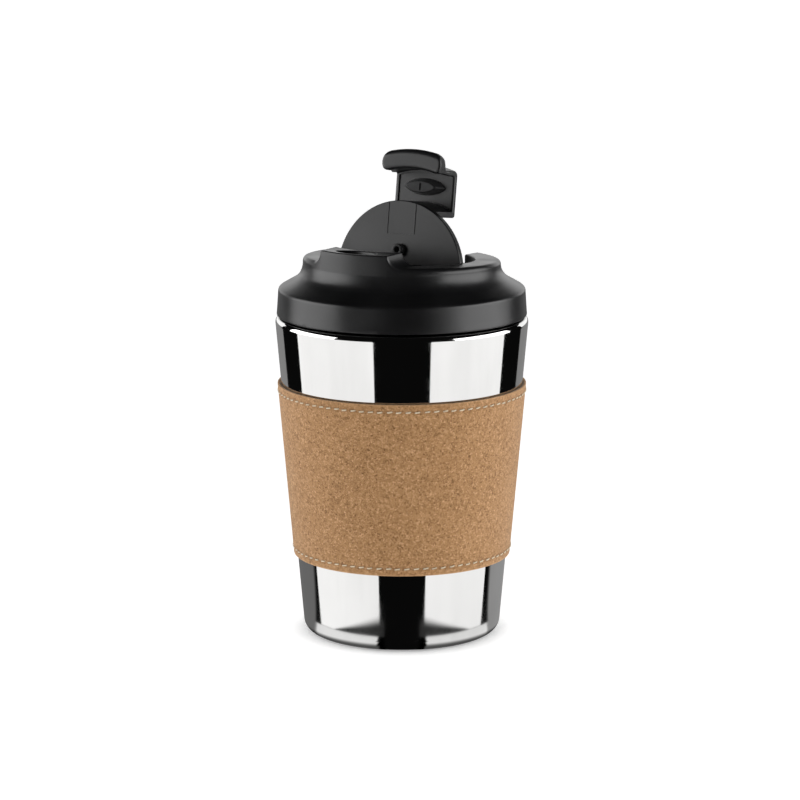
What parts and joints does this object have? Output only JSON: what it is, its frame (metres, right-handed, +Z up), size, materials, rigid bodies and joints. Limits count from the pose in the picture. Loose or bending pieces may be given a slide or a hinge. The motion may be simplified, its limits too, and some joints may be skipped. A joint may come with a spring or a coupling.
{
  "type": "insulated travel cup",
  "caption": "Tapered double-walled steel travel cup with a stitched cork sleeve and a black screw-on lid with a flip-open drinking flap, shown open.",
  "frame": {"origin": "centre of the foot ring, on the surface the cup stands on", "axes": "+Z up along the cup's axis; -Y towards the mouthpiece; X along the flap's hinge"},
  "size_m": [0.091, 0.091, 0.1749],
  "materials": {
    "polished_steel": "mirror-polished stainless steel",
    "satin_steel": "satin stainless steel",
    "cork": "fine-grained agglomerated cork, uncoated",
    "backing_cloth": "thin woven backing",
    "stitch_thread": "cream sewing thread",
    "lid_plastic": "satin black moulded plastic",
    "silicone": "matt black silicone"
  },
  "bodies": {
    "cup": {"outer_shell": "polished_steel", "inner_liner": "satin_steel", "base_plate": "polished_steel", "getter": "satin_steel"},
    "sleeve": {"cork_sleeve": "cork", "sleeve_lining": "backing_cloth", "stitch_row_upper": "stitch_thread", "stitch_row_lower": "stitch_thread"},
    "gasket": {"lid_gasket": "silicone"},
    "lid": {"lid_body": "lid_plastic", "lid_inner_plate": "lid_plastic"},
    "flap": {"flap_shell": "lid_plastic", "flap_plate": "lid_plastic", "drink_plug": "silicone", "vent_plug": "silicone"}
  },
  "joints": [
    {"name": "sleeve_slide", "type": "slide", "parent": "cup", "child": "sleeve", "axis": [0, 0, -1], "range_m": [0, 0.028]},
    {"name": "lid_lift", "type": "slide", "parent": "cup", "child": "gasket", "axis": [0, 0, 1], "range_m": [0, 0.00601]},
    {"name": "lid_turn", "type": "hinge", "parent": "gasket", "child": "lid", "pos_m": [0, 0, 0.1242], "axis": [0, 0, 1], "range_deg": [0, 360]},
    {"name": "flap_hinge", "type": "hinge", "parent": "lid", "child": "flap", "pos_m": [0, 0, 0.1315], "axis": [-1, 0, 0], "range_deg": [-98, 50]}
  ],
  "couplings": [
    {"joint": "lid_lift", "follows": "lid_turn", "m_per_rad": 0.00095493}
  ]
}
